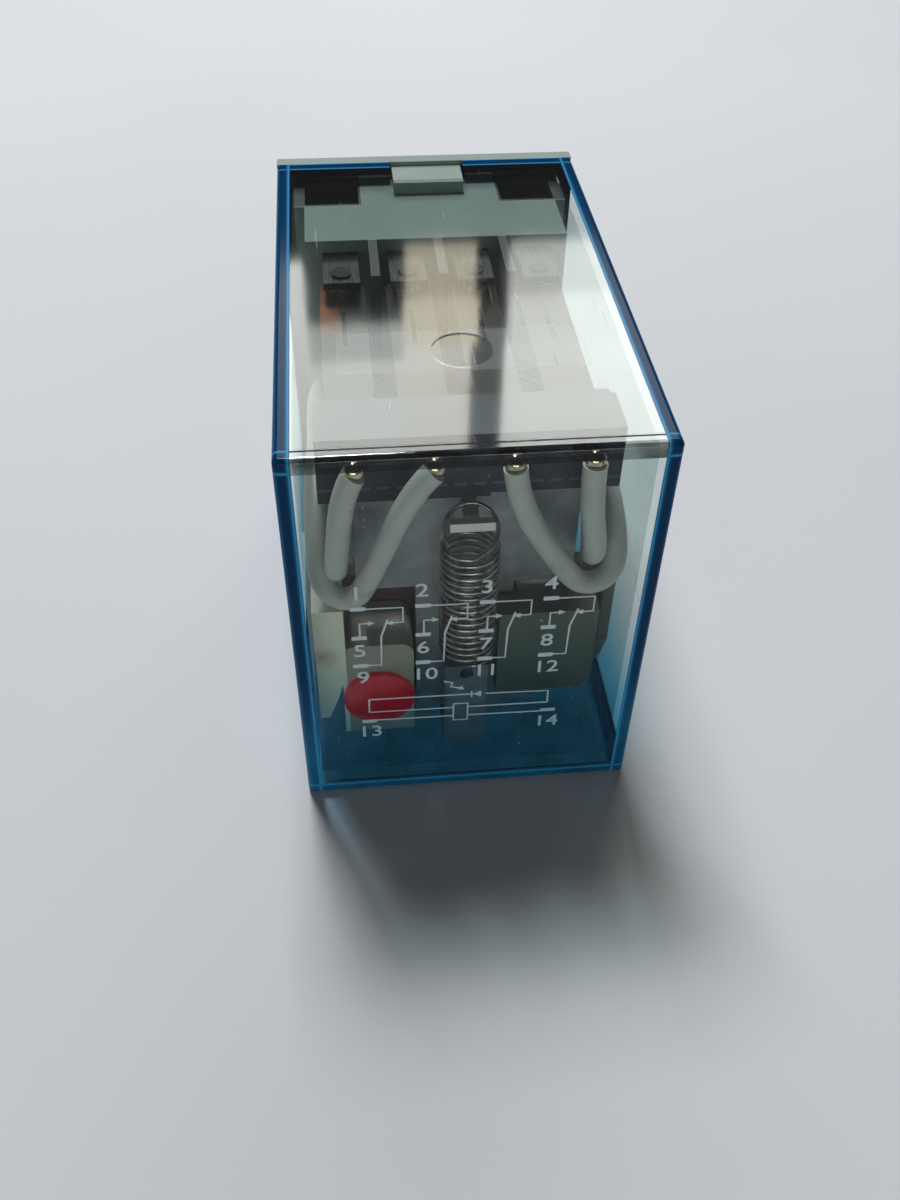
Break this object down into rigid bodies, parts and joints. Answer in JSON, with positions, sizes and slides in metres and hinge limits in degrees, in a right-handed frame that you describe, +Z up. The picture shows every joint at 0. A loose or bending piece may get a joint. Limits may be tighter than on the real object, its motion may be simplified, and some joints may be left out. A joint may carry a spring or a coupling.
{
  "type": "plug in relay",
  "caption": "Plug-in relay with a clear blue-tinted case, flat plug blades, a hinged spring-return armature that shifts leaf contacts, and an indicator lamp.",
  "frame": {"origin": "middle of the outline at floor level, the relay lying on one narrow side", "axes": "+X across the width, +Y from the clear end to the plug blades, +Z up"},
  "size_m": [0.0216, 0.0424, 0.028],
  "materials": {
    "tinted_polycarbonate": "clear, tinted blue, polished",
    "base_moulding": "grey-green moulded, fine matt",
    "tinned_brass": "tinned, satin",
    "silver_alloy": "turned, satin",
    "plated_iron": "brushed, thin plating",
    "bare_copper": "satin",
    "bobbin_plastic": "cream, slightly translucent",
    "enamelled_copper": "enamelled, glossy",
    "coil_tape": "smooth film",
    "red_lens": "tinted, polished",
    "tinned_wire": "tinned",
    "resistor_coating": "lacquered",
    "diode_body": "moulded",
    "carrier_plastic": "moulded, fine satin",
    "spring_copper_alloy": "rolled, satin",
    "spring_steel": "drawn wire, bright",
    "lead_sleeve": "soft, matt",
    "solder": "bright, rounded"
  },
  "bodies": {
    "relay_frame": {"clear_case": "tinted_polycarbonate", "base_block": "base_moulding", "nc_terminal_1": "tinned_brass", "nc_terminal_2": "tinned_brass", "nc_terminal_3": "tinned_brass", "nc_terminal_4": "tinned_brass", "no_terminal_5": "tinned_brass", "no_terminal_6": "tinned_brass", "no_terminal_7": "tinned_brass", "no_terminal_8": "tinned_brass", "com_terminal_9": "tinned_brass", "com_terminal_10": "tinned_brass", "com_terminal_11": "tinned_brass", "com_terminal_12": "tinned_brass", "coil_terminal_13": "tinned_brass", "coil_terminal_14": "tinned_brass", "nc_contact_rivets": "silver_alloy", "no_contact_rivets": "silver_alloy", "yoke": "plated_iron", "iron_core": "plated_iron", "yoke_rivets": "plated_iron", "shading_ring": "bare_copper", "coil_bobbin": "bobbin_plastic", "coil_winding": "enamelled_copper", "coil_tape": "coil_tape", "coil_lead_wires": "enamelled_copper", "indicator_led": "red_lens", "led_leads": "tinned_wire", "led_resistor": "resistor_coating", "led_diode": "diode_body", "return_spring": "spring_steel", "lead_sleeve_1": "lead_sleeve", "lead_sleeve_2": "lead_sleeve", "lead_sleeve_3": "lead_sleeve", "lead_sleeve_4": "lead_sleeve", "lead_wires": "tinned_wire", "com_solder_joints": "solder"},
    "armature_assembly": {"armature": "plated_iron", "movable_block": "carrier_plastic", "moving_spring_1": "spring_copper_alloy", "moving_spring_2": "spring_copper_alloy", "moving_spring_3": "spring_copper_alloy", "moving_spring_4": "spring_copper_alloy", "moving_contact_rivets": "silver_alloy", "tail_solder_joints": "solder"}
  },
  "joints": [
    {"name": "armature_pivot", "type": "hinge", "parent": "relay_frame", "child": "armature_assembly", "pos_m": [0, -0.0152, 0.0027], "axis": [-1, 0, 0], "range_deg": [0, 2.4], "stiffness_Nm_per_rad": 0.02, "springref_deg": -5.73, "deforming": ["return_spring", "lead_sleeve_1", "lead_sleeve_2", "lead_sleeve_3", "lead_sleeve_4", "lead_wires"]}
  ]
}
